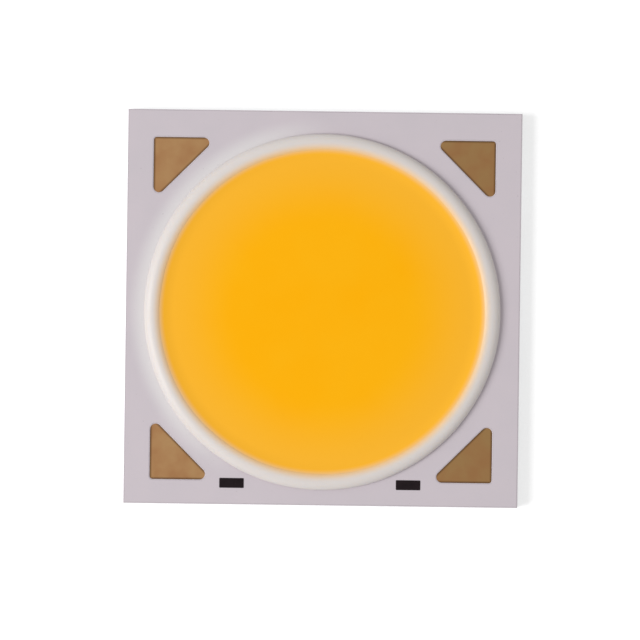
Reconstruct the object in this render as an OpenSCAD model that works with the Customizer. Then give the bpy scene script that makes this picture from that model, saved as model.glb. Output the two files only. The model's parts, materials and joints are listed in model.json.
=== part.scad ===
// Chip-on-board LED array: a square metal-core board whose round light area, ringed by a
// silicone dam, holds strings of LED chips under a fill of phosphor-loaded silicone.
// Millimetres. +Z up, the origin at the middle of the board's lower face.

/* [Board] */
// Side of the square board
board_side = 28; // [25:0.5:32]
// Thickness of the aluminium base plate
plate_t = 1.0; // [0.6:0.1:2]
// Leg of the bevel that the panel score leaves along the plate's lower edges
score_bevel = 0.15; // [0.05:0.05:0.3]
// Thickness of the film that bonds the laminate to the plate
film_t = 0.05; // [0.03:0.01:0.1]
// Thickness of the circuit laminate
laminate_t = 0.13; // [0.1:0.01:0.3]

/* [Circuit] */
// Thickness of the copper
copper_t = 0.035; // [0.018:0.001:0.07]
// Thickness of the nickel-gold plating
plating_t = 0.01; // [0.005:0.001:0.015]
// Thickness of the solder mask over the copper
mask_t = 0.045; // [0.02:0.005:0.06]
// Distance from the laminate's window to the copper
copper_setback = 0.1; // [0.05:0.05:0.2]
// Width of the bare strip of copper on which the outer wires land
bond_strip_w = 0.35; // [0.25:0.05:0.5]
// Distance that the copper reaches under the mask past the bond strip
bus_cover_w = 1.15; // [0.8:0.05:1.4]
// Gap between the copper of the two poles
pole_gap = 2.6; // [1.5:0.1:4]
// Width of the copper link from a bus to a pad
link_w = 2.5; // [1:0.1:3]
// Shift of the printed pattern along Y against the board's outline
pattern_shift = -0.12; // [-0.15:0.01:0.15]

/* [Pads] */
// Leg of a pad's triangle, up to its sharp corners
pad_leg = 4.5; // [4:0.1:4.6]
// Radius of a pad's square corner
pad_square_r = 0.22; // [0.1:0.02:0.5]
// Radius of a pad's two sharp corners
pad_tip_r = 0.4; // [0.1:0.05:0.6]
// Distance from the board's edge to a pad
pad_edge_gap = 1.85; // [1.5:0.05:2]
// Distance that a pad's copper reaches under the mask
pad_cover_w = 0.2; // [0.1:0.05:0.3]

/* [Minus marks] */
// Length of a minus mark
mark_length = 1.74; // [1.4:0.02:2]
// Width of a minus mark
mark_w = 0.7; // [0.5:0.05:0.8]
// Thickness of the printed ink
mark_t = 0.015; // [0.01:0.005:0.03]
// Radius of a mark's corners
mark_corner_r = 0.06; // [0.03:0.01:0.2]
// Distance from the board's edge to a mark
mark_edge_gap = 1.29; // [1.1:0.01:1.4]
// Distance from the dam to the nearest corner of a mark
mark_dam_gap = 0.33; // [0.2:0.01:0.5]

/* [Light area] */
// Shift of the light area along X against the board's outline
light_shift_x = -0.05; // [-0.2:0.01:0.2]
// Shift of the light area along Y against the board's outline
light_shift_y = -0.25; // [-0.3:0.01:0.3]
// Distance from the board's edge to the foot of the dam, at the middle of a side
dam_edge_gap = 1.28; // [1:0.02:1.6]
// Distance from the foot of the dam in to the mask's opening
dam_setback = 0.07; // [0.05:0.01:0.15]
// Width of the dam at its foot
dam_w = 1.5; // [1.2:0.05:1.6]
// Height of the dam above the mask
dam_h = 0.65; // [0.5:0.05:0.7]
// Height of the phosphor above the mask, at its middle
fill_h = 0.4; // [0.25:0.01:0.42]
// Height that the phosphor climbs at the dam
meniscus_h = 0.1; // [0.02:0.01:0.15]
// Width of the band in which the phosphor climbs
meniscus_w = 0.6; // [0.3:0.05:1]

/* [Chips] */
// Number of strings side by side
strings = 12; // [8:1:12]
// Number of chips in a string
chips = 12; // [8:1:12]
// Side of a chip
chip_side = 0.66; // [0.5:0.01:0.7]
// Thickness of a chip
chip_t = 0.15; // [0.1:0.01:0.17]
// Pitch of the chips in the two outermost strings
edge_pitch = 1.0; // [0.95:0.01:1.2]
// Distance from the window to the ends of the strings
field_gap = 0.45; // [0.4:0.05:0.8]
// Thickness of the die-attach glue
glue_t = 0.02; // [0.01:0.005:0.03]
// Distance that the glue reaches past its chip
glue_margin = 0.02; // [0.01:0.005:0.05]

/* [Wires] */
// Diameter of a bond wire
wire_d = 0.03; // [0.025:0.001:0.04]
// Rise of a wire's loop above its chord
loop_rise = 0.16; // [0.1:0.01:0.2]
// Diameter of the flattened bond at each end of a wire
bond_d = 0.09; // [0.07:0.01:0.12]
// Distance from a chip's edge to the middle of a bond on it
bond_inset = 0.11; // [0.07:0.01:0.15]
// Play between the wires and the slot that the phosphor keeps round them
slot_play = 0.02; // [0.01:0.005:0.04]

/* [Hidden] */
// Levels of the stack, from the board's lower face up
film_z = plate_t;
laminate_z = film_z + film_t;
copper_z = laminate_z + laminate_t;
plating_z = copper_z + copper_t;
mask_top_z = plating_z + mask_t;
chip_z = plate_t + glue_t;
chip_top_z = chip_z + chip_t;
strip_top_z = plating_z + plating_t;
fill_z = mask_top_z + fill_h;
rim_z = fill_z + meniscus_h;

// Radii of the light area, from the dam in to the laminate's window
dam_outer_r = board_side / 2 - dam_edge_gap;
dam_mid_r = dam_outer_r - dam_w / 2;
dam_inner_r = dam_outer_r - dam_w;
mask_open_r = dam_inner_r - dam_setback;
copper_outer_r = mask_open_r + bus_cover_w;
copper_inner_r = mask_open_r - bond_strip_w;
window_r = copper_inner_r - copper_setback;
land_r = (copper_inner_r + mask_open_r) / 2;

// The dam's section is the part of a circle that stands above the mask
bead_r = (dam_w * dam_w / 4 + dam_h * dam_h) / (2 * dam_h);
bead_z = mask_top_z + dam_h - bead_r;
rim_r = dam_mid_r - sqrt(bead_r * bead_r - pow(rim_z - bead_z, 2));

// Strings fill the field, and the outermost one is a chord just long enough for its chips
field_r = window_r - field_gap;
outer_string_x = sqrt(field_r * field_r - pow(chips * edge_pitch / 2, 2));
string_pitch = 2 * outer_string_x / (strings - 1);
bond_offset = chip_side / 2 - bond_inset;
bond_h = wire_d;
wire_lift = bond_h / 2;

// Pads and marks, measured from the middle of the printed pattern
pad_corner = board_side / 2 - pad_edge_gap;
mark_low_y = -board_side / 2 + mark_edge_gap + pattern_shift;
mark_top_y = mark_low_y + mark_w;
mark_inner_x = sqrt(pow(dam_outer_r + mark_dam_gap, 2) - pow(mark_top_y - light_shift_y, 2));

cut_over = 0.5;
ring_fn = 240;
tube_fn = 16;
arc_steps = 6;

function string_name(kind, s) = str(kind, s < 9 ? "_0" : "_", s + 1);
STRING_NODES = [for (kind = ["chip_string", "wire_string", "die_bond"], s = [0:strings - 1])
    string_name(kind, s)];

// ---- Outlines ----------------------------------------------------------------------------

function unit(v) = v / norm(v);

// Points of the arc of radius r that rounds the corner b of the path a, b, c,
// for an outline drawn anticlockwise
function corner_arc(a, b, c, r) =
    let (u = unit(a - b), v = unit(c - b), half = acos(u * v) / 2)
    let (centre = b + unit(u + v) * r / sin(half))
    let (from = b + u * r / tan(half) - centre)
    let (start = atan2(from.y, from.x), sweep = 180 - 2 * half)
    [for (i = [0:arc_steps]) centre
        + r * [cos(start + sweep * i / arc_steps), sin(start + sweep * i / arc_steps)]];

// Points of a convex anticlockwise outline with each corner rounded to its own radius
function rounded(corners, radii) =
    let (n = len(corners))
    [for (i = [0:n - 1])
        each corner_arc(corners[(i + n - 1) % n], corners[i], corners[(i + 1) % n], radii[i])];

// The triangle of the upper right pad, grown by a margin all round
function pad_outline(margin) =
    let (corner = pad_corner + margin, leg = pad_leg + margin * (2 + sqrt(2)))
    rounded([[corner, corner], [corner - leg, corner], [corner, corner - leg]],
        [pad_square_r + margin, pad_tip_r + margin, pad_tip_r + margin]);

module square_plate(side, z, t) {
    translate([-side / 2, -side / 2, z]) cube([side, side, t]);
}

module at_light_area() {
    translate([light_shift_x, light_shift_y, 0]) children();
}

// Turns a shape that is symmetric about the diagonal of the upper right corner
// to the corner on the given side (-1 left, 1 right) of a pole (1 upper, -1 lower)
module turn_to_corner(side, pole) {
    rotate(atan2(pole, side) - 45) children();
}

module in_corner(side, pole) {
    translate([0, pattern_shift, 0]) turn_to_corner(side, pole) children();
}

module pad_shape(margin) {
    polygon(pad_outline(margin));
}

// ---- Board -------------------------------------------------------------------------------

module windowed_plate(z, t) {
    difference() {
        square_plate(board_side, z, t);
        at_light_area()
            translate([0, 0, z - cut_over]) cylinder(h = t + 2 * cut_over, r = window_r, $fn = ring_fn);
    }
}

module score_cut() {
    translate([board_side / 2, board_side / 2 + cut_over, 0]) rotate([90, 0, 0])
        linear_extrude(board_side + 2 * cut_over)
            polygon([[-score_bevel, 0], [0, score_bevel], [cut_over, score_bevel], [cut_over, -cut_over],
                [-score_bevel, -cut_over]]);
}

module base_plate() {
    color("silver") difference() {
        square_plate(board_side, 0, plate_t);
        for (side = [0:3]) rotate([0, 0, 90 * side]) score_cut();
    }
}

module bond_film() {
    color("lightyellow") windowed_plate(film_z, film_t);
}

module circuit_core() {
    color("gainsboro") windowed_plate(laminate_z, laminate_t);
}

// ---- Copper and plating ------------------------------------------------------------------

// Half of a flat ring: the upper half for pole 1 and the lower half for pole -1
module half_ring(pole, inner_r, outer_r) {
    at_light_area() intersection() {
        difference() {
            circle(r = outer_r, $fn = ring_fn);
            circle(r = inner_r, $fn = ring_fn);
        }
        rotate(pole < 0 ? 180 : 0)
            translate([-outer_r - cut_over, pole_gap / 2])
                square([2 * (outer_r + cut_over), outer_r + cut_over]);
    }
}

// The link runs along the diagonal, from the bus to inside the pad's copper
module link_shape(pole, side) {
    bus_mid_r = (mask_open_r + copper_outer_r) / 2;
    link_end_r = (pad_corner - pad_leg / 3) * sqrt(2);
    at_light_area() turn_to_corner(side, pole) rotate(45)
        translate([bus_mid_r, -link_w / 2]) square([link_end_r - bus_mid_r, link_w]);
}

module track_shape(pole) {
    half_ring(pole, copper_inner_r, copper_outer_r);
    for (side = [-1, 1]) {
        link_shape(pole, side);
        in_corner(side, pole) pad_shape(pad_cover_w);
    }
}

module track(pole) {
    translate([0, 0, copper_z]) linear_extrude(copper_t) track_shape(pole);
}

module bond_strip(pole) {
    translate([0, 0, plating_z]) linear_extrude(plating_t)
        half_ring(pole, copper_inner_r, mask_open_r);
}

module gold_pad(side, pole) {
    translate([0, 0, plating_z]) linear_extrude(plating_t) in_corner(side, pole) pad_shape(0);
}

// ---- Solder mask and ink -----------------------------------------------------------------

module solder_mask() {
    color("#f4eef2") difference() {
        square_plate(board_side, copper_z, mask_top_z - copper_z);
        at_light_area() translate([0, 0, copper_z - cut_over])
            cylinder(h = mask_top_z - copper_z + 2 * cut_over, r = mask_open_r, $fn = ring_fn);
        for (side = [-1, 1], pole = [-1, 1])
            translate([0, 0, copper_z + copper_t / 2])
                linear_extrude(cut_over) in_corner(side, pole) pad_shape(0);
        for (pole = [-1, 1]) track(pole);
    }
}

module minus_mark(side) {
    left_x = side > 0 ? mark_inner_x : -mark_inner_x - mark_length;
    right_x = left_x + mark_length;
    color("#1a1016") translate([light_shift_x, 0, mask_top_z]) linear_extrude(mark_t)
        polygon(rounded([[left_x, mark_low_y], [right_x, mark_low_y],
            [right_x, mark_top_y], [left_x, mark_top_y]], [for (k = [1:4]) mark_corner_r]));
}

// ---- Dam and phosphor --------------------------------------------------------------------

module bead_circle() {
    translate([dam_mid_r, bead_z]) circle(r = bead_r, $fn = ring_fn / 2);
}

module dam() {
    color("white") at_light_area() rotate_extrude($fn = ring_fn) intersection() {
        bead_circle();
        translate([dam_inner_r - cut_over, mask_top_z]) square([dam_w + 2 * cut_over, dam_h + cut_over]);
    }
}

// Section of the phosphor: it steps down over the mask and the laminate to the base plate,
// its upper line is level and then climbs as a parabola to the dam
module phosphor_section() {
    climb = [for (i = [0:arc_steps]) i / arc_steps];
    climb_r = rim_r - meniscus_w;
    difference() {
        polygon(concat(
            [[0, plate_t], [window_r, plate_t], [window_r, copper_z], [mask_open_r, copper_z],
                [mask_open_r, mask_top_z], [dam_mid_r, mask_top_z], [dam_mid_r, rim_z]],
            [for (i = [arc_steps:-1:0])
                [climb_r + climb[i] * meniscus_w, fill_z + meniscus_h * pow(climb[i], 2)]],
            [[0, fill_z]]));
        bead_circle();
    }
}

module phosphor() {
    color("#fbb414") difference() {
        at_light_area() rotate_extrude($fn = ring_fn) phosphor_section();
        for (pole = [-1, 1])
            translate([0, 0, copper_z - cut_over]) linear_extrude(strip_top_z - copper_z + cut_over)
                half_ring(pole, copper_inner_r, mask_open_r + dam_setback / 2);
        for (s = [0:strings - 1]) die_bond(s);
        for (s = [0:strings - 1]) chip_string(s);
        for (s = [0:strings - 1]) wire_slot(s);
    }
}

// ---- Chips, glue and wires ---------------------------------------------------------------

function string_x(s) = (s - (strings - 1) / 2) * string_pitch;
function chip_pitch(s) = 2 * sqrt(field_r * field_r - pow(string_x(s), 2)) / chips;
function chip_y(s, i) = (i - (chips - 1) / 2) * chip_pitch(s);
function land_y(s) = sqrt(land_r * land_r - pow(string_x(s), 2));

module chip_boxes(s, side, z, t) {
    at_light_area() for (i = [0:chips - 1])
        translate([string_x(s) - side / 2, chip_y(s, i) - side / 2, z]) cube([side, side, t]);
}

module die_bond(s) {
    color("#e8e4d8") chip_boxes(s, chip_side + 2 * glue_margin, plate_t, glue_t);
}

module chip_string(s) {
    color("#6f8fb4") chip_boxes(s, chip_side, chip_z, chip_t);
}

// Wire between two points [y, z] of the plane of a string: an arc of a torus whose ends lie
// within the two flattened bonds
module wire(p, q) {
    chord = norm(q - p);
    arc_r = (chord * chord / 4 + loop_rise * loop_rise) / (2 * loop_rise);
    tilt = atan2(q.y - p.y, q.x - p.x);
    half = asin(chord / 2 / arc_r);
    centre = (p + q) / 2 + (arc_r - loop_rise) * [sin(tilt), -cos(tilt)];
    translate([0, centre.x, centre.y + wire_lift]) rotate([90, 0, 90])
        rotate([0, 0, 90 + tilt - half]) rotate_extrude(angle = 2 * half, $fn = 8 * tube_fn)
            translate([arc_r, 0]) circle(d = wire_d, $fn = tube_fn);
    for (end = [p, q])
        translate([0, end.x, end.y]) cylinder(h = bond_h, d = bond_d, $fn = tube_fn);
}

// Room that the phosphor leaves round the wires of a string, from strip to strip
module wire_slot(s) {
    slot_w = bond_d + 2 * slot_play;
    half_length = land_y(s) + slot_w / 2;
    slot_top_z = strip_top_z + loop_rise + wire_lift + wire_d / 2 + slot_play;
    at_light_area() translate([string_x(s) - slot_w / 2, -half_length, chip_top_z])
        cube([slot_w, 2 * half_length, slot_top_z - chip_top_z]);
}

module wire_string(s) {
    last_y = chip_y(s, chips - 1) + bond_offset;
    color("gold") at_light_area() translate([string_x(s), 0, 0]) {
        wire([-land_y(s), strip_top_z], [-last_y, chip_top_z]);
        for (i = [0:chips - 2])
            wire([chip_y(s, i) + bond_offset, chip_top_z], [chip_y(s, i + 1) - bond_offset, chip_top_z]);
        wire([last_y, chip_top_z], [land_y(s), strip_top_z]);
    }
}

// ---- Nodes -------------------------------------------------------------------------------

base_plate();
bond_film();
circuit_core();
color("#b87333") track(1);  // anode_track
color("#b87333") track(-1);  // cathode_track
solder_mask();
color("#b8925a") gold_pad(-1, 1);  // anode_pad_left
color("#b8925a") gold_pad(1, 1);  // anode_pad_right
color("#b8925a") gold_pad(-1, -1);  // cathode_pad_left
color("#b8925a") gold_pad(1, -1);  // cathode_pad_right
color("gold") bond_strip(1);  // anode_bond_strip
color("gold") bond_strip(-1);  // cathode_bond_strip
dam();
phosphor();
minus_mark(-1);  // minus_mark_left
minus_mark(1);  // minus_mark_right
for (s = [0:strings - 1]) {
    chip_string(s);
    wire_string(s);
    die_bond(s);
}
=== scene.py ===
"""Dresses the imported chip-on-board LED array: a white-masked aluminium board, gold corner pads,
a silicone dam and the phosphor fill inside it. Metres, +Z up, the board's lower face at zero."""

import json
import logging
import math
from dataclasses import dataclass, field
from enum import Enum
from functools import partial
from typing import Any, Callable, Iterable, Sequence

import bpy
import numpy as np
from bpy.types import Material, Mesh, Node, NodeSocket, NodeTree, Object, World
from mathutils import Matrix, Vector, geometry

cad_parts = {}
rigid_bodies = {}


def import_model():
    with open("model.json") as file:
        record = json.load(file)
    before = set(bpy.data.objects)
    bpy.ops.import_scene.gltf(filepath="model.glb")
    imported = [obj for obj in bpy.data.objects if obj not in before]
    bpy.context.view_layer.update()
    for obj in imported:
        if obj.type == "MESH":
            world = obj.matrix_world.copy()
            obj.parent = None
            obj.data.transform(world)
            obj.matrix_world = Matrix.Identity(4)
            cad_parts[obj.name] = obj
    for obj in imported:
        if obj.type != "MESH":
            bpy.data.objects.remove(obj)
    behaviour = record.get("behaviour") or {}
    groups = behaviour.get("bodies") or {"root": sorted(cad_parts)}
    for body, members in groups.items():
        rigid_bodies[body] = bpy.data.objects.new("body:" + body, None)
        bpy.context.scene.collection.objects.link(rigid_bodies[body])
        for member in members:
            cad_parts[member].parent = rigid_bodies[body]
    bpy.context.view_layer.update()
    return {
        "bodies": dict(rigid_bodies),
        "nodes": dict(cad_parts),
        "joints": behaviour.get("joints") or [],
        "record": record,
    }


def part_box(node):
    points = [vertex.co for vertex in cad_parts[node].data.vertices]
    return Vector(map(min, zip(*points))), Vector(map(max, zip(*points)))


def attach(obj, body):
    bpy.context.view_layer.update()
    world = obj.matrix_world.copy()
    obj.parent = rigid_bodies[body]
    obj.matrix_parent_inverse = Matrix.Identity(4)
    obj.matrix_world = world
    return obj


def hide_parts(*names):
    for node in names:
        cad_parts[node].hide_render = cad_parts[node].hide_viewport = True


log = logging.getLogger("cob_led")

Array = np.ndarray
Triple = tuple[float, float, float]

MM = 0.001
MASK_OPENING_R = 11.15 * MM  # the mask's round opening, which lies under the dam


class Side(Enum):
    """Side of the board on which a pad lies."""

    LEFT = -1
    RIGHT = 1


class Pole(Enum):
    """Pole of a pad: the anodes are the upper two and the cathodes the lower two."""

    ANODE = 1
    CATHODE = -1


# ---- Meshes ----


def signed_volume(points: Array, triangles: Array) -> float:
    """Volume that closed triangles hold: a sixth of the sum of their corners' triple products.

    Args:
        points: Vertices, one row each.
        triangles: Three vertex numbers a row.

    Returns:
        The volume, negative if the faces point inwards.
    """
    a, b, c = (points[triangles[:, k]] for k in range(3))
    return float(np.einsum("ij,ij->i", a, np.cross(b, c)).sum() / 6)


def as_triangles(quads: Array) -> Array:
    """Each quad as two triangles that share its first corner."""
    return np.vstack([quads[:, [0, 1, 2]], quads[:, [0, 2, 3]]])


@dataclass
class Shell:
    """A closed surface put together from rings of points and from flat sheets between rings.

    Args:
        name: Name of the piece.
        points: Points added so far, one array for each ring.
        quads: Faces of the bands between rings.
        triangles: Faces of the sheets and caps.
        creases: Edges that stay sharp, as pairs of point numbers.
    """

    name: str
    points: list[Array] = field(default_factory=list)
    quads: list[Array] = field(default_factory=list)
    triangles: list[Array] = field(default_factory=list)
    creases: list[Array] = field(default_factory=list)

    def add_points(self, points: Array) -> Array:
        """Adds points to the shell.

        Args:
            points: Array of shape (n, 3).

        Returns:
            The numbers of the new points.
        """
        first = sum(len(p) for p in self.points)
        self.points.append(points)
        return np.arange(first, first + len(points))

    def join(self, ring_a: Array, ring_b: Array) -> None:
        """Joins two closed rings of equally many points by a band of quads."""
        next_a, next_b = np.roll(ring_a, -1), np.roll(ring_b, -1)
        self.quads.append(np.column_stack([ring_a, next_a, next_b, ring_b]))

    def crease(self, ring: Array) -> None:
        """Marks a closed ring as a sharp edge."""
        self.creases.append(np.sort(np.column_stack([ring, np.roll(ring, -1)]), axis=1))

    def cap(self, ring: Array, apex: Array) -> None:
        """Closes a ring with a fan of triangles to the one point apex."""
        tip = self.add_points(apex.reshape(1, 3))[0]
        self.triangles.append(np.column_stack([ring, np.roll(ring, -1), np.full(len(ring), tip)]))

    def sheet(self, outer: Array, holes: Sequence[Array]) -> None:
        """Fills the flat region between an outer ring and the rings of its holes.

        Args:
            outer: Point numbers of the outer ring, which is convex.
            holes: Point numbers of each hole's ring, each convex.
        """
        rings = [outer, *holes]
        numbers = np.concatenate(rings)
        flat = np.vstack(self.points)[numbers][:, :2] / MM
        starts = np.cumsum([0] + [len(ring) for ring in rings])
        edges = np.vstack([
            start + np.column_stack([np.arange(len(ring)), np.roll(np.arange(len(ring)), -1)])
            for start, ring in zip(starts, rings)
        ])
        same_point = 1e-7
        made = geometry.delaunay_2d_cdt(flat.tolist(), edges.tolist(), [], 0, same_point)
        made_faces, made_from = np.array(made[2]), np.array(made[3])[:, 0]
        faces = made_from[made_faces]
        middles = flat[faces].mean(axis=1)
        keep = np.ones(len(faces), bool)
        for start, ring in zip(starts[1:], holes):
            keep &= ~inside_convex(middles, flat[start : start + len(ring)])
        self.triangles.append(numbers[faces[keep]])

    def build(self, material: Material) -> Object:
        """Makes the mesh object, smooth between creases, with its faces pointing outwards.

        Args:
            material: Its one material.

        Returns:
            The object, linked to the scene.
        """
        points = np.vstack(self.points)
        quads = np.vstack(self.quads)
        triangles = np.vstack(self.triangles) if self.triangles else np.zeros((0, 3), int)
        if signed_volume(points, np.vstack([as_triangles(quads), triangles])) < 0:
            quads, triangles = quads[:, ::-1], triangles[:, ::-1]
        mesh = bpy.data.meshes.new(self.name)
        mesh.from_pydata(points.tolist(), [], quads.tolist() + triangles.tolist())
        mesh.polygons.foreach_set("use_smooth", np.ones(len(mesh.polygons), bool))
        self._mark_creases(mesh)
        mesh.update()
        mesh.materials.append(material)
        return add_to_scene(self.name, mesh)

    def _mark_creases(self, mesh: Mesh) -> None:
        """Writes the creases to the mesh's sharp edges, each found by one number from its ends."""
        ends = np.zeros(len(mesh.edges) * 2, np.int32)
        mesh.edges.foreach_get("vertices", ends)
        ends = np.sort(ends.reshape(-1, 2), axis=1)
        count = len(mesh.vertices)
        wanted = np.vstack(self.creases)
        sharp = np.isin(ends[:, 0] * count + ends[:, 1], wanted[:, 0] * count + wanted[:, 1])
        marks = mesh.attributes.new("sharp_edge", "BOOLEAN", "EDGE")
        marks.data.foreach_set("value", sharp)


def add_to_scene(name: str, data: Any) -> Object:
    """A new object with the given data, linked to the scene."""
    made = bpy.data.objects.new(name, data)
    bpy.context.scene.collection.objects.link(made)
    return made


def inside_convex(points: Array, outline: Array) -> Array:
    """Which points lie inside a convex outline: those on one side of all of its edges.

    Args:
        points: Array of shape (n, 2).
        outline: Corners in order, either way round.

    Returns:
        A boolean for each point.
    """
    along = np.roll(outline, -1, axis=0) - outline
    away = points[:, None, :] - outline[None, :, :]
    turn = along[None, :, 0] * away[:, :, 1] - along[None, :, 1] * away[:, :, 0]
    return (turn > 0).all(axis=1) | (turn < 0).all(axis=1)


def rounded_outline(corners: Array, radii: Array, grow: float, steps: int) -> Array:
    """Outline of a convex polygon with round corners, moved outwards by grow.

    Each corner's arc is centred on the corner's bisector at radius / sin(half angle), and
    growing keeps the centre and lengthens the radius, so every outline has as many points.

    Args:
        corners: Corners in anticlockwise order, shape (n, 2).
        radii: Radius of each corner before growing.
        grow: Distance to move outwards.
        steps: Steps in each arc.

    Returns:
        Points of the outline, shape (n * (steps + 1), 2).
    """
    before = np.roll(corners, 1, axis=0) - corners
    after = np.roll(corners, -1, axis=0) - corners
    before /= np.linalg.norm(before, axis=1, keepdims=True)
    after /= np.linalg.norm(after, axis=1, keepdims=True)
    half = np.arccos((before * after).sum(axis=1)) / 2
    bisector = before + after
    bisector /= np.linalg.norm(bisector, axis=1, keepdims=True)
    centres = corners + bisector * (radii / np.sin(half))[:, None]
    touch = corners + before * (radii / np.tan(half))[:, None] - centres
    start = np.arctan2(touch[:, 1], touch[:, 0])
    sweep = math.pi - 2 * half
    angles = start[:, None] + sweep[:, None] * np.linspace(0, 1, steps + 1)[None, :]
    arcs = np.stack([np.cos(angles), np.sin(angles)], axis=-1) * (radii + grow)[:, None, None]
    return (centres[:, None, :] + arcs).reshape(-1, 2)


def round_circle(count: int) -> Array:
    """Angles of count points spaced evenly round a circle."""
    return np.arange(count) * 2 * math.pi / count


def at_height(outline: Array, z: float) -> Array:
    """The points of a flat outline lifted to height z."""
    return np.column_stack([outline, np.full(len(outline), z)])


def swell(reach: Array) -> Array:
    """Height of a rounded shoulder, from 0 at its foot to 1: a quarter of a circle."""
    return np.sqrt(np.clip(1 - (1 - reach) ** 2, 0, 1))


# ---- Shader nodes ----


def linear(hex_colour: str) -> tuple[float, float, float, float]:
    """A colour such as "c8bec4" as linear red, green, blue and alpha, by the usual screen curve:
    a straight line up to 0.04045 and a power of 2.4 above it."""
    parts = [int(hex_colour[k : k + 2], 16) / 255 for k in (0, 2, 4)]
    return (*[p / 12.92 if p <= 0.04045 else ((p + 0.055) / 1.055) ** 2.4 for p in parts], 1.0)


@dataclass
class Nodes:
    """A node tree under construction, with short calls for the nodes used here.

    Args:
        tree: The tree of a material, a group or the world.
    """

    tree: NodeTree

    def add(self, kind: str, inputs: dict[str | int, Any] | None = None, **settings: Any) -> Node:
        """Adds a node.

        Args:
            kind: Type of the node without "ShaderNode".
            inputs: Value or source socket for each named or numbered input.
            settings: Properties of the node.

        Returns:
            The node.
        """
        node = self.tree.nodes.new("ShaderNode" + kind)
        for name, value in settings.items():
            setattr(node, name, value)
        for name, value in (inputs or {}).items():
            self.feed(node.inputs[name], value)
        return node

    def feed(self, socket: NodeSocket, value: Any) -> None:
        """Links a source socket to an input, or sets the input's own value."""
        if isinstance(value, NodeSocket):
            self.tree.links.new(value, socket)
        else:
            socket.default_value = value

    def math(self, operation: str, *values: Any, clamp: bool = False) -> NodeSocket:
        """Result of a Math node."""
        node = self.add("Math", dict(enumerate(values)), operation=operation, use_clamp=clamp)
        return node.outputs[0]

    def mix(self, factor: Any, low: Any, high: Any) -> NodeSocket:
        """Colour mixed between low and high, at the numbers of the Mix node's colour sockets."""
        node = self.add("Mix", data_type="RGBA")
        for number, value in ((0, factor), (6, low), (7, high)):
            self.feed(node.inputs[number], value)
        return node.outputs[2]

    def span(
        self, value: Any, start: Any, end: Any, low: float = 0.0, high: float = 1.0,
        smooth: bool = False,
    ) -> NodeSocket:
        """value's range start to end mapped to the range low to high, and held beyond it."""
        ends = {"From Min": start, "From Max": end, "To Min": low, "To Max": high}
        node = self.add("MapRange", {"Value": value, **ends})
        node.interpolation_type = "SMOOTHSTEP" if smooth else "LINEAR"
        return node.outputs["Result"]

    def place(self, centre: Sequence[float] = (0.0, 0.0, 0.0)) -> NodeSocket:
        """Object coordinates in millimetres.

        Args:
            centre: Point of the object, in metres, that becomes the origin.

        Returns:
            The vector socket.
        """
        coordinates = self.add("TexCoord").outputs["Object"]
        scale = (1 / MM, 1 / MM, 1 / MM)
        shift = [-c / MM for c in centre]
        mapping = self.add("Mapping", {"Vector": coordinates, "Location": shift, "Scale": scale})
        return mapping.outputs[0]

    def group(self, tree: NodeTree, **inputs: Any) -> Node:
        """Places a node group; an input's name has underscores for its spaces."""
        node = self.add("Group")
        node.node_tree = tree
        for name, value in inputs.items():
            self.feed(node.inputs[name.replace("_", " ")], value)
        return node


def fresh_nodes(owner: Material | World) -> Nodes:
    """The node tree of a material or the world, emptied."""
    owner.use_nodes = True
    owner.node_tree.nodes.clear()
    return Nodes(owner.node_tree)


def new_group(
    name: str, inputs: Iterable[tuple[str, str]], outputs: Iterable[str]
) -> tuple[Nodes, Any, Any]:
    """Starts a shader node group.

    Args:
        name: The group's name.
        inputs: Name and kind ("Float" or "Vector") of each input.
        outputs: Name of each output, all of them floats.

    Returns:
        The nodes, the group's input node and its output node.
    """
    tree = bpy.data.node_groups.new(name, "ShaderNodeTree")
    for label, kind in inputs:
        tree.interface.new_socket(label, in_out="INPUT", socket_type="NodeSocket" + kind)
    for label in outputs:
        tree.interface.new_socket(label, in_out="OUTPUT", socket_type="NodeSocketFloat")
    return Nodes(tree), tree.nodes.new("NodeGroupInput"), tree.nodes.new("NodeGroupOutput")


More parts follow.
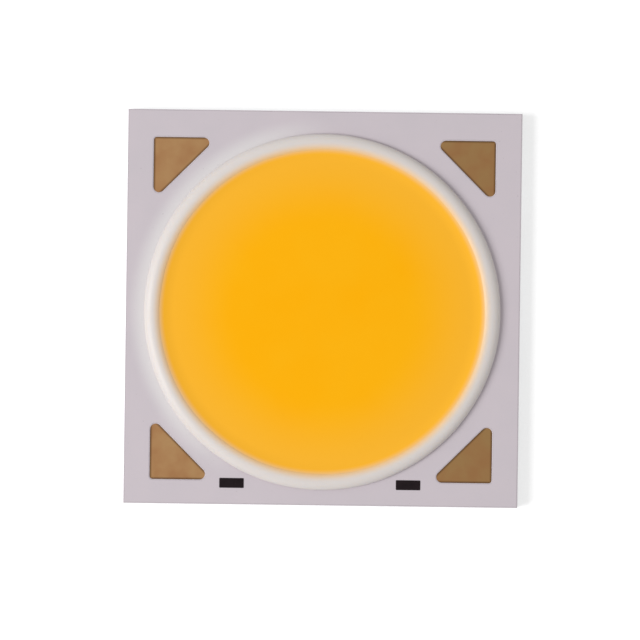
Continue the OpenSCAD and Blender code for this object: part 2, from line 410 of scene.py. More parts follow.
class Effects:
    """Shader node groups that several finishes share."""

    PATCH_RANGE = (0.32, 0.68)  # where the values of the broad noise mostly lie
    LINE_RANGE = (0.35, 0.65)  # the same for the noise of the drawn lines

    def __init__(self) -> None:
        """Builds every group once."""
        self.grain = self._grain()
        self.drawn_lines = self._drawn_lines()
        self.ring_fade = self._ring_fade()
        self.pad_border = self._pad_border()

    def _grain(self) -> NodeTree:
        """Fine grain for the height, with a broad tone that drifts over the surface."""
        inputs = [("Position", "Vector"), ("Fine", "Float"), ("Broad", "Float")]
        n, given, out = new_group("grain", inputs, ["Height", "Tone"])
        place = given.outputs["Position"]
        fine = n.add("TexNoise", {
            "Vector": place, "Scale": given.outputs["Fine"], "Detail": 4.0, "Roughness": 0.6})
        broad = n.add("TexNoise", {
            "Vector": place, "Scale": given.outputs["Broad"], "Detail": 2.0, "Roughness": 0.5})
        n.feed(out.inputs["Height"], fine.outputs[0])
        n.feed(out.inputs["Tone"], n.span(broad.outputs[0], *self.PATCH_RANGE))
        return n.tree

    def _drawn_lines(self) -> NodeTree:
        """Long fine lines along X, as rolling or sawing leaves them: noise stretched along X."""
        inputs = [("Position", "Vector"), ("Fineness", "Float"), ("Stretch", "Float")]
        n, given, out = new_group("drawn_lines", inputs, ["Height", "Tone"])
        split = n.add("SeparateXYZ", {0: given.outputs["Position"]})
        along = n.math("DIVIDE", split.outputs[0], given.outputs["Stretch"])
        joined = n.add("CombineXYZ", {0: along, 1: split.outputs[1], 2: split.outputs[2]})
        lines = n.add("TexNoise", {
            "Vector": joined.outputs[0], "Scale": given.outputs["Fineness"], "Detail": 5.0,
            "Roughness": 0.7})
        n.feed(out.inputs["Height"], lines.outputs[0])
        n.feed(out.inputs["Tone"], n.span(lines.outputs[0], *self.LINE_RANGE))
        return n.tree

    def _ring_fade(self) -> NodeTree:
        """Rises from 0 at the radius Start to 1 at the radius End, about the Z axis."""
        inputs = [("Position", "Vector"), ("Start", "Float"), ("End", "Float")]
        n, given, out = new_group("ring_fade", inputs, ["Fade"])
        flat = n.add(
            "VectorMath", {0: given.outputs["Position"], 1: (1.0, 1.0, 0.0)}, operation="MULTIPLY")
        radius = n.add("VectorMath", {0: flat.outputs[0]}, operation="LENGTH").outputs["Value"]
        fade = n.span(radius, given.outputs["Start"], given.outputs["End"], smooth=True)
        n.feed(out.inputs["Fade"], fade)
        return n.tree

    def _pad_border(self) -> NodeTree:
        """1 at a pad's border and 0 from Width inwards: the least of the distances to the two legs
        and to the long side of the corner triangle."""
        inputs = [("Position", "Vector"), ("Corner", "Float"), ("Leg", "Float"), ("Width", "Float")]
        n, given, out = new_group("pad_border", inputs, ["Border"])
        size = n.add("VectorMath", {0: given.outputs["Position"]}, operation="ABSOLUTE")
        split = n.add("SeparateXYZ", {0: size.outputs[0]})
        gaps = [n.math("SUBTRACT", given.outputs["Corner"], split.outputs[k]) for k in (0, 1)]
        left = n.math("SUBTRACT", given.outputs["Leg"], n.math("ADD", *gaps))
        long_side = n.math("MULTIPLY", left, math.sqrt(0.5))
        least = n.math("MINIMUM", n.math("MINIMUM", *gaps), long_side)
        share = n.math("DIVIDE", least, given.outputs["Width"], clamp=True)
        n.feed(out.inputs["Border"], n.math("SUBTRACT", 1.0, share))
        return n.tree


# ---- Finishes ----


@dataclass(frozen=True)
class Finish:
    """What every finish has.

    Args:
        name: Name of the material.
        base: Main colour.
        drift: Colour towards which the main one drifts in broad patches.
        roughness: Roughness where the surface is smoothest.
        spread: How much rougher it is where the tone is highest.
        fine: Size of the grain, as features for each millimetre.
        broad: Size of the patches, as features for each millimetre.
        depth: Depth of the grain in metres.
        specular: Strength of the reflections, 0.5 being that of common plastics.
    """

    name: str
    base: str
    drift: str
    roughness: float
    spread: float
    fine: float
    broad: float
    depth: float
    specular: float = 0.5

    def start(self) -> tuple[Material, Nodes, Node]:
        """Makes an empty material with its shader joined to its output.

        Returns:
            The material, its nodes and its Principled BSDF.
        """
        material = bpy.data.materials.new(self.name)
        nodes = fresh_nodes(material)
        shader = nodes.add("BsdfPrincipled", {"Specular IOR Level": self.specular})
        nodes.add("OutputMaterial", {"Surface": shader.outputs[0]})
        material.diffuse_color = linear(self.base)
        return material, nodes, shader

    def grain(self, nodes: Nodes, effects: Effects, place: NodeSocket) -> tuple[Any, Any]:
        """Height and tone of the finish's own grain."""
        made = nodes.group(effects.grain, Position=place, Fine=self.fine, Broad=self.broad)
        return made.outputs["Height"], made.outputs["Tone"]

    def finish(self, nodes: Nodes, shader: Node, colour: Any, tone: Any, height: Any) -> None:
        """Feeds the shader the colour, a roughness that follows the tone, and the height's bump."""
        nodes.feed(shader.inputs["Base Color"], colour)
        rough = nodes.span(tone, 0.0, 1.0, self.roughness, self.roughness + self.spread)
        nodes.feed(shader.inputs["Roughness"], rough)
        bump = nodes.add("Bump", {"Height": height, "Distance": self.depth, "Strength": 1.0})
        nodes.feed(shader.inputs["Normal"], bump.outputs[0])

    def dress(self, nodes: Nodes, shader: Node, effects: Effects) -> None:
        """Plain grained finish: colour and roughness follow the tone, and the bump the grain."""
        height, tone = self.grain(nodes, effects, nodes.place())
        colour = nodes.mix(tone, linear(self.base), linear(self.drift))
        self.finish(nodes, shader, colour, tone, height)

    def make(self, effects: Effects) -> Material:
        """The finished material."""
        material, nodes, shader = self.start()
        self.dress(nodes, shader, effects)
        return material


@dataclass(frozen=True, kw_only=True)
class MaskFinish(Finish):
    """Matt white solder mask, with a few embedded specks and a pale patch of painted light along
    the dam's lamp side, standing in for light bounced off the dam.

    Args:
        middle: Middle of the dam, in metres.
        speck: Colour of the specks.
        speck_fineness: Features of the specks' noise for each millimetre.
        speck_peak: Values of that noise at which a speck begins and is full.
        painted_bounce: Colour of the painted light on the mask.
        painted_bounce_reach: Radii between which the painted light thins out, in millimetres.
        painted_bounce_side: Direction from the middle of the lit side, where the light is painted.
        painted_bounce_span: Distances towards that side between which the painted light sets in, in
            millimetres.
    """

    middle: Triple
    speck: str = "b6acb2"
    speck_fineness: float = 3.1
    speck_peak: tuple[float, float] = (0.69, 0.74)
    # Painted light: a pale patch on the mask along the dam's lamp side, standing in for light
    # bounced off the dam.
    painted_bounce: str = "d8d4d5"
    painted_bounce_reach: tuple[float, float] = (12.65, 14.0)
    painted_bounce_side: Triple = (-0.97, 0.26, 0.0)
    painted_bounce_span: tuple[float, float] = (2.0, 8.5)

    def dress(self, nodes: Nodes, shader: Node, effects: Effects) -> None:
        """Grain and drift as usual, the painted light beside the dam, and sparse specks where a
        fine noise peaks.
        """
        place = nodes.place()
        height, tone = self.grain(nodes, effects, place)
        cells = nodes.add("TexNoise", {
            "Vector": place, "Scale": self.speck_fineness, "Detail": 3.0, "Roughness": 0.75})
        speck = nodes.span(cells.outputs[0], *self.speck_peak)
        drift = nodes.mix(tone, linear(self.base), linear(self.drift))
        # Painted light: the mask is paler along the dam's lamp side.
        bounce_lit = nodes.mix(self._painted_bounce(nodes, effects), drift, linear(self.painted_bounce))
        colour = nodes.mix(speck, bounce_lit, linear(self.speck))
        self.finish(nodes, shader, colour, tone, height)

    def _painted_bounce(self, nodes: Nodes, effects: Effects) -> NodeSocket:
        """1 at the foot of the dam on the lit side, where the light is painted, and 0 away from it:
        the fade with the radius times the span of the distance towards that side."""
        place = nodes.place(self.middle)
        start, end = self.painted_bounce_reach
        fade = nodes.group(effects.ring_fade, Position=place, Start=start, End=end).outputs["Fade"]
        towards = nodes.add("VectorMath", {0: place, 1: self.painted_bounce_side}, operation="DOT_PRODUCT")
        side = nodes.span(towards.outputs["Value"], *self.painted_bounce_span, smooth=True)
        return nodes.math("MULTIPLY", nodes.math("SUBTRACT", 1.0, fade), side)


@dataclass(frozen=True)
class MetalFinish(Finish):
    """Rolled or drawn metal: fine lines along X over the grain.

    Args:
        stretch: How many times longer than wide a line is.
        fineness: Lines for each millimetre across them.
        end_facing: X of the normal beyond which a face counts as one of the two that look along X.
    """

    stretch: float = 30.0
    fineness: float = 6.0
    end_facing: float = 0.6

    def dress(self, nodes: Nodes, shader: Node, effects: Effects) -> None:
        """Colour and roughness follow the lines, and the bump both lines and grain."""
        place = nodes.place()
        lines = nodes.group(
            effects.drawn_lines, Position=self._along_face(nodes, place), Fineness=self.fineness,
            Stretch=self.stretch)
        grain_height, grain_tone = self.grain(nodes, effects, place)
        line_tone = lines.outputs["Tone"]
        tone = nodes.math("MULTIPLY", line_tone, grain_tone)
        colour = nodes.mix(tone, linear(self.base), linear(self.drift))
        height = nodes.math("ADD", lines.outputs["Height"], grain_height)
        shader.inputs["Metallic"].default_value = 1.0
        self.finish(nodes, shader, colour, line_tone, height)

    def _along_face(self, nodes: Nodes, place: NodeSocket) -> NodeSocket:
        """The place, turned by a quarter about Z on the two faces that look along X, so that their
        lines run along Y. The numbers are those of the Mix node's vector sockets."""
        normal = nodes.add("NewGeometry").outputs["Normal"]
        facing = nodes.add("SeparateXYZ", {0: normal}).outputs[0]
        end_face = nodes.math("GREATER_THAN", nodes.math("ABSOLUTE", facing), self.end_facing)
        turn = {"Vector": place, "Rotation": (0.0, 0.0, math.pi / 2)}
        turned = nodes.add("Mapping", turn).outputs[0]
        mixed = nodes.add("Mix", data_type="VECTOR")
        for number, value in ((0, end_face), (4, place), (5, turned)):
            nodes.feed(mixed.inputs[number], value)
        return mixed.outputs[1]


@dataclass(frozen=True, kw_only=True)
class PadFinish(Finish):
    """Satin nickel-gold plating, with painted shade along its sunken border and painted light on
    the lamp's side.

    Args:
        border_shade: Colour of the painted shade along the border, where the mask's wall shades the
            pad.
        painted_lit_side: Colour of the plating on its left, the lamp's side, lighter by painted
            light.
        corner: Distance of a pad's outer edges from the pattern's middle, in millimetres.
        leg: Leg of a pad's triangle, in millimetres.
        middle: Middle of the printed pattern, in metres.
        border_width: Width of the stained border, in millimetres.
        border_shade_strength: Strength of the painted shade at the very edge.
        patch_strength: Strength of the broad patches.
    """

    border_shade: str
    painted_lit_side: str
    corner: float
    leg: float
    middle: Triple
    border_width: float = 0.17
    border_shade_strength: float = 0.85
    patch_strength: float = 0.5

    def dress(self, nodes: Nodes, shader: Node, effects: Effects) -> None:
        """The plating is painted lighter towards the lamp on the left, drifts in patches and has
        painted shade at its border.
        """
        place = nodes.place(self.middle)
        height, tone = self.grain(nodes, effects, place)
        border = nodes.group(
            effects.pad_border, Position=place, Corner=self.corner, Leg=self.leg,
            Width=self.border_width).outputs["Border"]
        across = nodes.add("SeparateXYZ", {0: place}).outputs[0]
        # Painted light: the plating is lighter towards the left, the lamp's side.
        side = nodes.span(across, -self.corner, self.corner, 1.0, 0.0, smooth=True)
        plating = nodes.mix(side, linear(self.base), linear(self.painted_lit_side))
        patch = nodes.math("MULTIPLY", tone, self.patch_strength)
        patched = nodes.mix(patch, plating, linear(self.drift))
        # Painted shade along the pad's border, where the mask's wall shades the sunken pad.
        edge = nodes.math("MULTIPLY", border, self.border_shade_strength)
        shader.inputs["Metallic"].default_value = 1.0
        self.finish(nodes, shader, nodes.mix(edge, patched, linear(self.border_shade)), tone, height)


@dataclass(frozen=True, kw_only=True)
class SiliconeFinish(Finish):
    """Cured silicone whose colour changes with the distance from the middle of the light area.

    Args:
        rings: Start radius and end radius in millimetres, and the colour reached, of each fade.
        middle: Middle of the light area, in metres.
        sheen_tint: Tint of the reflections.
        glow: Share of light that is scattered below the surface.
        glow_reach: How far the scattered light goes, in metres.
        glow_colours: Shares of that reach for red, green and blue light.
    """

    rings: tuple[tuple[float, float, str], ...]
    middle: Triple
    sheen_tint: tuple[float, float, float, float] = (1.0, 1.0, 1.0, 1.0)
    glow: float = 0.0
    glow_reach: float = 3e-4
    glow_colours: Triple = (1.0, 0.8, 0.6)

    def dress(self, nodes: Nodes, shader: Node, effects: Effects) -> None:
        """Base colour drifts in patches and fades with the radius from ring to ring."""
        place = nodes.place(self.middle)
        height, tone = self.grain(nodes, effects, place)
        body = nodes.mix(tone, linear(self.base), linear(self.drift))
        for start, end, colour in self.rings:
            fade = nodes.group(effects.ring_fade, Position=place, Start=start, End=end)
            body = nodes.mix(fade.outputs["Fade"], body, linear(colour))
        shader.inputs["Specular Tint"].default_value = self.sheen_tint
        shader.inputs["Subsurface Weight"].default_value = self.glow
        shader.inputs["Subsurface Radius"].default_value = self.glow_colours
        shader.inputs["Subsurface Scale"].default_value = self.glow_reach
        self.finish(nodes, shader, body, tone, height)


# ---- The frame's sizes ----


@dataclass(frozen=True)
class Box:
    """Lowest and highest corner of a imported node, in metres."""

    low: Array
    high: Array

    @classmethod
    def of(cls, node: str) -> "Box":
        """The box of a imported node."""
        low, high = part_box(node)
        return cls(np.array(low), np.array(high))

    @property
    def middle(self) -> Array:
        """Middle of the box."""
        return (self.low + self.high) / 2

    @property
    def size(self) -> Array:
        """Extent of the box on each axis."""
        return self.high - self.low


# ---- Pieces ----


@dataclass
class Dam:
    """The bead of white silicone, laid in a ring by a needle that starts and ends at one place.

    Its section slumps to a flat crown and steep sides: height = top (1 - |across| ^ power) ^ (1/2),
    where across runs from -1 at the inner foot to 1 at the outer one.

    Args:
        width: Width at the foot.
        inner_power: Power of the section on the side of the fill.
        outer_power: Power of the section on the outside.
        undercut: How far the outer foot draws in under the bead's side.
        undercut_height: Height over which it draws in.
        around: Points round the ring.
        over: Points over the section.
        wander: How far the needle strays inwards from the circle, on average.
        waves: Share, number round the ring and phase of each wave of its straying.
        narrowing: Share of the width that comes and goes three times round the ring.
        thinning: How much lower the bead is away from its overlap.
        thinning_waves: Share of the thinning that follows the waves.
        overlap_at: Angle of the overlap of the start and the end, in radians.
        overlap_length: Half length of the overlap, in radians.
        overlap_bulge: How much wider the bead is at its overlap.
    """

    width: float = 1.5 * MM
    inner_power: float = 2.0
    outer_power: float = 2.2
    undercut: float = 0.1 * MM
    undercut_height: float = 0.26 * MM
    around: int = 720
    over: int = 52
    wander: float = 0.025 * MM
    waves: tuple[tuple[float, int, float], ...] = ((0.5, 2, 0.7), (0.3, 5, 2.1), (0.2, 11, 4.0))
    narrowing: float = 0.012
    thinning: float = 0.02 * MM
    thinning_waves: float = 0.25
    overlap_at: float = math.radians(-41)
    overlap_length: float = math.radians(2.6)
    overlap_bulge: float = 0.03 * MM

    def build(self, material: Material) -> Object:
        """The closed ring: an arc from the outer foot over to the inner one, carried round the
        circle with the needle's slow wander, and closed along the mask.

        Args:
            material: Finish of the dam.

        Returns:
            The piece.
        """
        box = Box.of("dam")
        height = float(box.size[2])
        outer = float(box.size[0]) / 2
        turn = round_circle(self.around)
        away = np.angle(np.exp(1j * (turn - self.overlap_at))) / self.overlap_length
        overlap = np.exp(-(away**2))
        waves = sum(share * np.sin(count * turn + phase) for share, count, phase in self.waves)
        middle_r = outer - self.width / 2 - self.wander * (1 - waves)
        narrower = self.narrowing * (1 - np.sin(3 * turn + 1.0))
        wide = self.width * (1 - narrower) + self.overlap_bulge * overlap
        thinner = (1 - overlap) * (1 - self.thinning_waves + self.thinning_waves * waves)
        high = height - self.thinning * thinner
        across = np.sin(np.linspace(1, -1, self.over) * math.pi / 2)
        power = np.where(across < 0, self.inner_power, self.outer_power)
        crown = np.sqrt(np.clip(1 - np.abs(across) ** power, 0, 1))
        radius = middle_r[:, None] + wide[:, None] / 2 * across[None, :]
        lift = high[:, None] * crown[None, :]
        low = np.clip(1 - lift / self.undercut_height, 0, 1) * (across > 0)
        radius -= self.undercut * low**2
        x = box.middle[0] + radius * np.cos(turn)[:, None]
        y = box.middle[1] + radius * np.sin(turn)[:, None]
        z = box.low[2] + lift
        shell = Shell("silicone_dam")
        grid = np.stack([x, y, z], axis=-1)
        rings = [shell.add_points(grid[:, k, :]) for k in range(self.over)]
        for k in range(self.over):
            shell.join(rings[k], rings[(k + 1) % self.over])
        shell.crease(rings[0])
        shell.crease(rings[-1])
        piece = shell.build(material)
        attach(piece, "root")
        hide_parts("dam")
        return piece


@dataclass
class PhosphorFill:
    """The phosphor-loaded silicone poured inside the dam.

    Args:
        around: Points round the fill.
        rings: Rings of points on its top.
        crowding: Power by which the rings crowd towards the rim.
        climb_width: Width of the band in which the surface climbs to the dam.
        climb: Height that it climbs.
        overclimb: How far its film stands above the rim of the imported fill.
        tuck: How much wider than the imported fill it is, so that its rim lies inside the dam.
        window_r: Radius of the laminate's window.
        ripple: Height of the slow unevenness of the cured surface.
        ripple_lengths: Length of its waves along X, along Y and aslant, for one radian of each.
        ripple_calm_r: Radius within which it dies away towards the middle.
    """

    around: int = 480
    rings: int = 71
    crowding: float = 1.7
    climb_width: float = 1.05 * MM
    climb: float = 0.14 * MM
    overclimb: float = 0.04 * MM
    tuck: float = 0.085 * MM
    window_r: float = 10.7 * MM
    ripple: float = 0.003 * MM
    ripple_lengths: Triple = (2.3 * MM, 2.9 * MM, 1.3 * MM)
    ripple_calm_r: float = 2.0 * MM

    def build(self, material: Material) -> Object:
        """The closed fill: a level top that climbs to the rim with the square of the distance, and
        below it the steps down the mask and the laminate to the base plate.

        Args:
            material: Finish of the fill.

        Returns:
            The piece.
        """
        box = Box.of("phosphor")
        mask_top = float(Box.of("solder_mask").high[2])
        laminate_top = float(Box.of("circuit_core").high[2])
        rim_r = float(box.size[0]) / 2 + self.tuck
        level = float(box.high[2]) + self.overclimb - self.climb
        spacing = np.linspace(0, 1, self.rings + 1)[1:]
        radii = rim_r * (1 - (1 - spacing) ** self.crowding)
        reach = np.clip((radii - rim_r + self.climb_width) / self.climb_width, 0, 1)
        turn = round_circle(self.around)
        shell = Shell("phosphor_fill")
        rings = [shell.add_points(self._ring(box, turn, r, level + self.climb * up**2, 1 - up))
                 for r, up in zip(radii, reach)]
        lower = [(rim_r, mask_top), (MASK_OPENING_R, mask_top), (MASK_OPENING_R, laminate_top),
                 (self.window_r, laminate_top), (self.window_r, float(box.low[2]))]
        rings += [shell.add_points(self._ring(box, turn, r, z, 0.0)) for r, z in lower]
        for upper, under in zip(rings, rings[1:]):
            shell.join(upper, under)
        for ring in rings[len(radii) - 1:]:
            shell.crease(ring)
        shell.cap(rings[0][::-1], np.array([box.middle[0], box.middle[1], level]))
        shell.cap(rings[-1], np.array([box.middle[0], box.middle[1], box.low[2]]))
        piece = shell.build(material)
        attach(piece, "root")
        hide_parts("phosphor")
        return piece

    def _ring(self, box: Box, turn: Array, radius: float, z: float, ease: float) -> Array:
        """One ring of the fill. Its slow ripple is the product of a wave along X and one along Y,
        plus half of a wave that runs aslant.

        Args:
            box: Box of the fill.
            turn: Angles of the points.
            radius: Radius of the ring.
            z: Mean height.
            ease: Share of the ripple that the ring has.

        Returns:
            Points of the ring.
        """
        x = box.middle[0] + radius * np.cos(turn)
        y = box.middle[1] + radius * np.sin(turn)
        along_x, along_y, aslant = self.ripple_lengths
        crossing = np.sin(x / along_x + 1.0) * np.sin(y / along_y)
        wave = crossing + 0.5 * np.sin((x + y) / aslant)
        fade = min(radius / self.ripple_calm_r, 1.0)
        return np.column_stack([x, y, z + self.ripple * ease * fade * wave])


@dataclass
class SolderMask:
    """The solder mask, whose edges swell up over a narrow shoulder, round the pads and the board.

    Args:
        pad_square_r: Radius of a pad's square corner.
        pad_tip_r: Radius of a pad's two sharp corners.
        shoulder: Width of the shoulder.
        foot: Height of the mask's edge over a pad.
        edge_drop: How much lower the mask is at the board's edge.
        board_corner_r: Radius of the mask's outer corners, no less than the shoulder's width.
        shoulder_steps: Shares of the shoulder's width at which it has a ring of points.
        pad_steps: Steps in the arc at each corner of a pad.
        board_steps: Steps in the arc at each of the mask's outer corners.
        around: Points round the round opening.
    """

    pad_square_r: float = 0.22 * MM
    pad_tip_r: float = 0.4 * MM
    shoulder: float = 0.07 * MM
    foot: float = 0.006 * MM
    edge_drop: float = 0.03 * MM
    board_corner_r: float = 0.08 * MM
    shoulder_steps: tuple[float, ...] = (0.0, 0.06, 0.16, 0.32, 0.55, 0.8, 1.0)
    pad_steps: int = 10
    board_steps: int = 6
    around: int = 360

    def pad_leg(self, pad: Box) -> float:
        """Leg of a pad's sharp triangle, whose box lacks the root of 2 times the tips' radius."""
        return float(pad.size[0]) + math.sqrt(2) * self.pad_tip_r

    def build(self, material: Material) -> Object:
        """The closed mask: flat above and below, with shoulders and walls round each opening.

        Args:
            material: Finish of the mask.

        Returns:
            The piece.
        """
        box = Box.of("solder_mask")
        top, bottom = float(box.high[2]), float(box.low[2])
        shell = Shell("solder_mask_layer")
        outer_start = top - self.edge_drop
        outer_top, outer_low = self._edge(shell, self._board_outline, outer_start, top, bottom, -1)
        top_holes, low_holes = [], []
        for pole in Pole:
            for side in Side:
                pad = Box.of(f"{pole.name.lower()}_pad_{side.name.lower()}")
                start = float(pad.high[2]) + self.foot
                outline = partial(self._pad_outline, pad, side, pole)
                ring_top, ring_low = self._edge(shell, outline, start, top, bottom, 1)
                top_holes.append(ring_top)
                low_holes.append(ring_low)
        dam = Box.of("dam")
        turn = round_circle(self.around)
        circle = dam.middle[:2] + MASK_OPENING_R * np.column_stack([np.cos(turn), np.sin(turn)])
        round_top = shell.add_points(at_height(circle, top))
        round_low = shell.add_points(at_height(circle, bottom))
        shell.join(round_top, round_low)
        shell.sheet(outer_top, [*top_holes, round_top])
        first_low = len(shell.triangles)
        shell.sheet(outer_low, [*low_holes, round_low])
        shell.triangles[first_low] = shell.triangles[first_low][:, ::-1]
        for ring in (outer_low, round_top, round_low, *low_holes):
            shell.crease(ring)
        piece = shell.build(material)
        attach(piece, "root")
        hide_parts("solder_mask")
        return piece

    def _edge(
        self, shell: Shell, outline: Callable[[float], Array], start: float, top: float,
        bottom: float, way: int,
    ) -> tuple[Array, Array]:
        """Shoulder and wall along one outline.

        Args:
            shell: The mask's shell.
            outline: Gives the outline's points for a distance moved outwards.
            start: Height at which the shoulder starts.
            top: Height at which it ends.
            bottom: Height of the foot of the wall.
            way: 1 for an opening, whose shoulder runs outwards, and -1 for the mask's own edge.

        Returns:
            Point numbers of the rings at the top of the shoulder and at the foot of the wall.
        """
        reach = np.array(self.shoulder_steps)
        heights = start + (top - start) * swell(reach)
        rings = [shell.add_points(at_height(outline(way * r * self.shoulder), z))
                 for r, z in zip(reach, heights)]
        low = shell.add_points(at_height(outline(0.0), bottom))
        for under, over in zip([low, *rings], rings):
            pair = (under, over) if way > 0 else (over, under)
            shell.join(*pair)
        return rings[-1], low

    def _board_outline(self, grow: float) -> Array:
        """Outer edge of the mask, moved outwards by grow."""
        box = Box.of("solder_mask")
        (x0, y0), (x1, y1) = box.low[:2], box.high[:2]
        square = np.array([[x0, y0], [x1, y0], [x1, y1], [x0, y1]])
        return rounded_outline(square, np.full(4, self.board_corner_r), grow, self.board_steps)

    def _pad_outline(self, pad: Box, side: Side, pole: Pole, grow: float) -> Array:
        """Outline of a pad's opening, moved outwards by grow.

        Args:
            pad: Box of the pad.
            side: Side of the board.
            pole: Pole of the pad.
            grow: Distance to move outwards.

        Returns:
            Points of the outline in anticlockwise order.
        """
        leg = self.pad_leg(pad)
        x = pad.high[0] if side is Side.RIGHT else pad.low[0]
        y = pad.high[1] if pole is Pole.ANODE else pad.low[1]
        triangle = np.array([[x, y], [x - side.value * leg, y], [x, y - pole.value * leg]])
        radii = np.array([self.pad_square_r, self.pad_tip_r, self.pad_tip_r])
        if side.value * pole.value < 0:
            triangle, radii = triangle[::-1], radii[::-1]
        return rounded_outline(triangle, radii, grow, self.pad_steps)


# ---- Studio ----


@dataclass
class Studio:
    """White floor, even light all round, one large soft lamp from the left, and the camera.

    Args:
        key_share: Share of the light on a level surface that comes from the lamp.
        key_distance: Distance of the lamp from the board.
        key_size: Side of the lamp.
        key_azimuth: Direction of the lamp round the board, from +X, in degrees.
        key_elevation: Height of the lamp above the board, in degrees.
        view_width: Width of the view at the mask's level.
        view_lens: Focal length of the camera in millimetres.
        view_turn: Turn of the camera about its axis, in degrees.
        aim: Point of the board below the camera.
        floor_reach: Half the side of the floor.
        floor_paint: Colour of the floor.
        floor_lift: Light that the floor gives off where it is seen, 1 being white.
    """

    key_share: float = 0.47
    key_distance: float = 0.6
    key_size: float = 0.3
    key_azimuth: float = 190.0
    key_elevation: float = 43.0
    view_width: float = 45.46 * MM
    view_lens: float = 200.0
    view_turn: float = 0.77
    aim: tuple[float, float] = (-0.19 * MM, -0.827 * MM)
    floor_reach: float = 2.0
    floor_paint: str = "e4e4e4"
    floor_lift: float = 0.45

    def build(self, board: Box, level: float) -> None:
        """Sets up the view, the light and the floor.

        Args:
            board: Box of the board.
            level: Height of the mask's surface.
        """
        self._camera(level)
        self._world()
        self._lamp(board)
        self._floor(float(board.low[2]))
        bpy.context.scene.view_settings.view_transform = "Standard"

    def _camera(self, level: float) -> None:
        """Camera straight above the board, at the distance that gives the view's width. It sees
        from a fiftieth of that distance to fifty times it."""
        data = bpy.data.cameras.new("camera")
        data.lens = self.view_lens
        distance = self.view_width * data.lens / data.sensor_width
        data.clip_start, data.clip_end = distance / 50, distance * 50
        camera = add_to_scene("camera", data)
        camera.location = (*self.aim, level + distance)
        camera.rotation_euler = (0.0, 0.0, math.radians(self.view_turn))
        bpy.context.scene.camera = camera

    def _world(self) -> None:
        """Even light, seen as white by the camera and in reflections."""
        world = bpy.data.worlds.new("studio")
        bpy.context.scene.world = world
        nodes = fresh_nodes(world)
        seen = seen_plainly(nodes)
        strength = nodes.span(seen, 0.0, 1.0, 1.0 - self.key_share, 1.0)
        light = nodes.add("Background", {"Color": (1.0, 1.0, 1.0, 1.0), "Strength": strength})
        nodes.add("OutputWorld", {"Surface": light.outputs[0]})

    def _lamp(self, board: Box) -> None:
        """The large soft lamp, which faces the board: a lamp of power P at distance d and
        elevation e lights a level white surface to P sin(e) / (pi d) squared."""
        rise = math.radians(self.key_elevation)
        data = bpy.data.lights.new("key_lamp", "AREA")
        data.energy = self.key_share * (math.pi * self.key_distance) ** 2 / math.sin(rise)
        data.size = self.key_size
        lamp = add_to_scene("key_lamp", data)
        turn = math.radians(self.key_azimuth)
        level, up = math.cos(rise), math.sin(rise)
        away = Vector((math.cos(turn) * level, math.sin(turn) * level, up))
        lamp.location = Vector(board.middle.tolist()) + away * self.key_distance
        lamp.rotation_mode = "QUATERNION"
        lamp.rotation_quaternion = away.to_track_quat("Z", "Y")

    def _floor(self, z: float) -> None:
        """Wide white floor that keeps the object's shadow."""
        square = np.array([[-1, -1], [1, -1], [1, 1], [-1, 1]]) * self.floor_reach
        mesh = bpy.data.meshes.new("floor")
        mesh.from_pydata(at_height(square, z).tolist(), [], [[0, 1, 2, 3]])
        floor = add_to_scene("floor", mesh)
        material = bpy.data.materials.new("floor_paint")
        nodes = fresh_nodes(material)
        paint = nodes.add("BsdfDiffuse", {"Color": linear(self.floor_paint)})
        lift = nodes.math("MULTIPLY", seen_plainly(nodes), self.floor_lift)
        glow = nodes.add("Emission", {"Color": (1.0, 1.0, 1.0, 1.0), "Strength": lift})
        both = nodes.add("AddShader", {0: paint.outputs[0], 1: glow.outputs[0]})
        nodes.add("OutputMaterial", {"Surface": both.outputs[0]})
        mesh.materials.append(material)


def seen_plainly(nodes: Nodes) -> NodeSocket:
    """1 for what the camera sees, straight or in a reflection or through glass, and 0 for light."""
    path = nodes.add("LightPath")
    either = nodes.math("MAXIMUM", path.outputs["Is Camera Ray"], path.outputs["Is Glossy Ray"])
    return nodes.math("MAXIMUM", either, path.outputs["Is Transmission Ray"])


# ---- Dressing ----


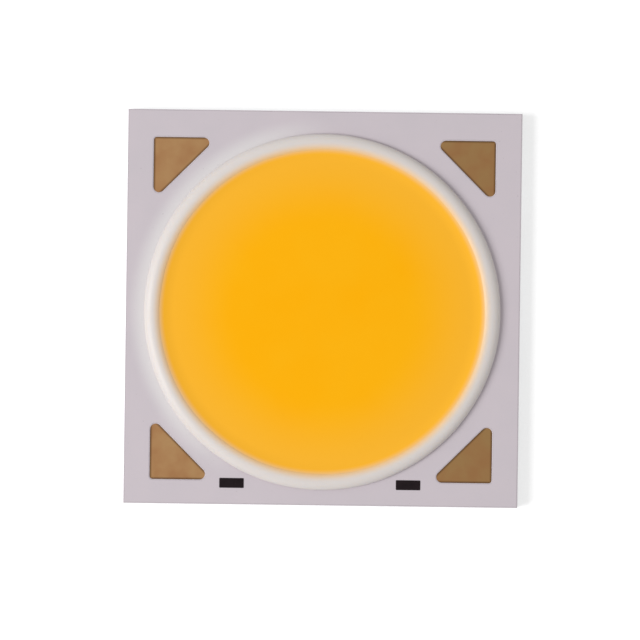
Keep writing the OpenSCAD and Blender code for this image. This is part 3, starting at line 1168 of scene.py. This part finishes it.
class Dressing:
    """The finishes of all of the object's pieces."""

    def __init__(self, light_middle: Triple, pad: Box, pad_leg: float) -> None:
        """Makes the materials.

        Args:
            light_middle: Middle of the light area, in metres.
            pad: Box of the upper right pad.
            pad_leg: Leg of a pad's triangle.
        """
        effects = Effects()
        pad_x, pad_y = float(pad.high[0]), float(pad.high[1])
        to_white = (11.15, 12.1, "dad3cf")
        finishes = {
            "aluminium": MetalFinish(
                "rolled_aluminium", "c9cbcd", "a7a9ac", roughness=0.26, spread=0.16, fine=9.0,
                broad=0.2, depth=1.2e-6),
            "bond_film": Finish(
                "bond_film", "b9a87c", "a08f66", roughness=0.55, spread=0.2, fine=20.0, broad=2.0,
                depth=2e-6),
            "laminate": Finish(
                "laminate", "bab5ae", "a8a196", roughness=0.6, spread=0.2, fine=25.0, broad=3.0,
                depth=3e-6),
            "copper": MetalFinish(
                "copper_foil", "b87850", "8f5636", roughness=0.35, spread=0.2, fine=30.0,
                broad=1.0, depth=1e-6),
            # The mask's finish carries painted light along the dam's lamp side.
            "solder_mask": MaskFinish(
                "solder_mask", "c9bfc5", "c6bdc3", roughness=0.5, spread=0.12, fine=9.0,
                broad=0.35, depth=1.6e-6, middle=light_middle),
            # Gold plating: its darkest colour is painted shade along the pads' borders, and its
            # palest painted light on the lamp's side.
            "gold_plating": PadFinish(
                "gold_plating", "8d6e47", "85593a", roughness=0.42, spread=0.14, fine=26.0,
                broad=0.7, depth=0.8e-6, corner=pad_x / MM, leg=pad_leg / MM,
                middle=(0.0, pad_y - pad_x, 0.0), border_shade="3e2a1c", painted_lit_side="9f7c55"),
            "dam_silicone": SiliconeFinish(
                "dam_silicone", "f7b932", "f5b835", roughness=0.42, spread=0.1, fine=5.0,
                broad=0.5, depth=1.5e-6, rings=(to_white,), middle=light_middle, glow=0.2),
            "phosphor_silicone": SiliconeFinish(
                "phosphor_silicone", "ffb104", "feb30b", roughness=0.42, spread=0.1, fine=14.0,
                broad=0.25, depth=1.2e-6, rings=((6.0, 11.2, "fab530"), to_white),
                middle=light_middle, sheen_tint=(1.0, 0.72, 0.1, 1.0)),
            "ink": Finish(
                "printed_ink", "1b1115", "150d10", roughness=0.45, spread=0.2, fine=22.0,
                broad=1.5, depth=2e-6, specular=0.1),
            "chip": Finish(
                "led_chip", "6f8aa8", "58738f", roughness=0.12, spread=0.1, fine=8.0, broad=1.0,
                depth=0.2e-6),
            "die_attach": Finish(
                "die_attach", "e6e2d8", "d8d2c4", roughness=0.4, spread=0.2, fine=15.0, broad=2.0,
                depth=1e-6),
            "wire_gold": MetalFinish(
                "gold_wire", "ddb055", "c4923a", roughness=0.2, spread=0.1, fine=40.0, broad=3.0,
                depth=0.2e-6),
        }
        self.materials = {slot: finish.make(effects) for slot, finish in finishes.items()}

    def dress_nodes(self, frame: dict[str, Any]) -> None:
        """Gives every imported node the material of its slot.
        """
        for entry in frame["record"]["subparts"]:
            node = frame["nodes"][entry["node"]]
            node.data.materials.clear()
            node.data.materials.append(self.materials[entry["material_slot"]])
            log.info("dressed %s in %s", entry["node"], entry["material_slot"])


def corners(bounds: Iterable[Any]) -> list[list[float]]:
    """Two corners of a box as plain lists."""
    return [[float(v) for v in corner] for corner in bounds]


def main() -> None:
    """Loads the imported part, dresses it, adds the formed surfaces and sets up the studio."""
    logging.basicConfig(level=logging.INFO, format="%(name)s: %(message)s")
    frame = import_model()
    board = Box.of("base_plate")
    mask_level = float(Box.of("solder_mask").high[2])
    dam_box = Box.of("dam")
    light_middle = (float(dam_box.middle[0]), float(dam_box.middle[1]), 0.0)
    mask, pad = SolderMask(), Box.of("anode_pad_right")
    dressing = Dressing(light_middle, pad, mask.pad_leg(pad))
    dressing.dress_nodes(frame)
    for piece in (
        mask.build(dressing.materials["solder_mask"]),
        Dam().build(dressing.materials["dam_silicone"]),
        PhosphorFill().build(dressing.materials["phosphor_silicone"]),
    ):
        log.info("made %s with %d faces", piece.name, len(piece.data.polygons))
    Studio().build(board, mask_level)


if __name__ == "__main__":
    main()
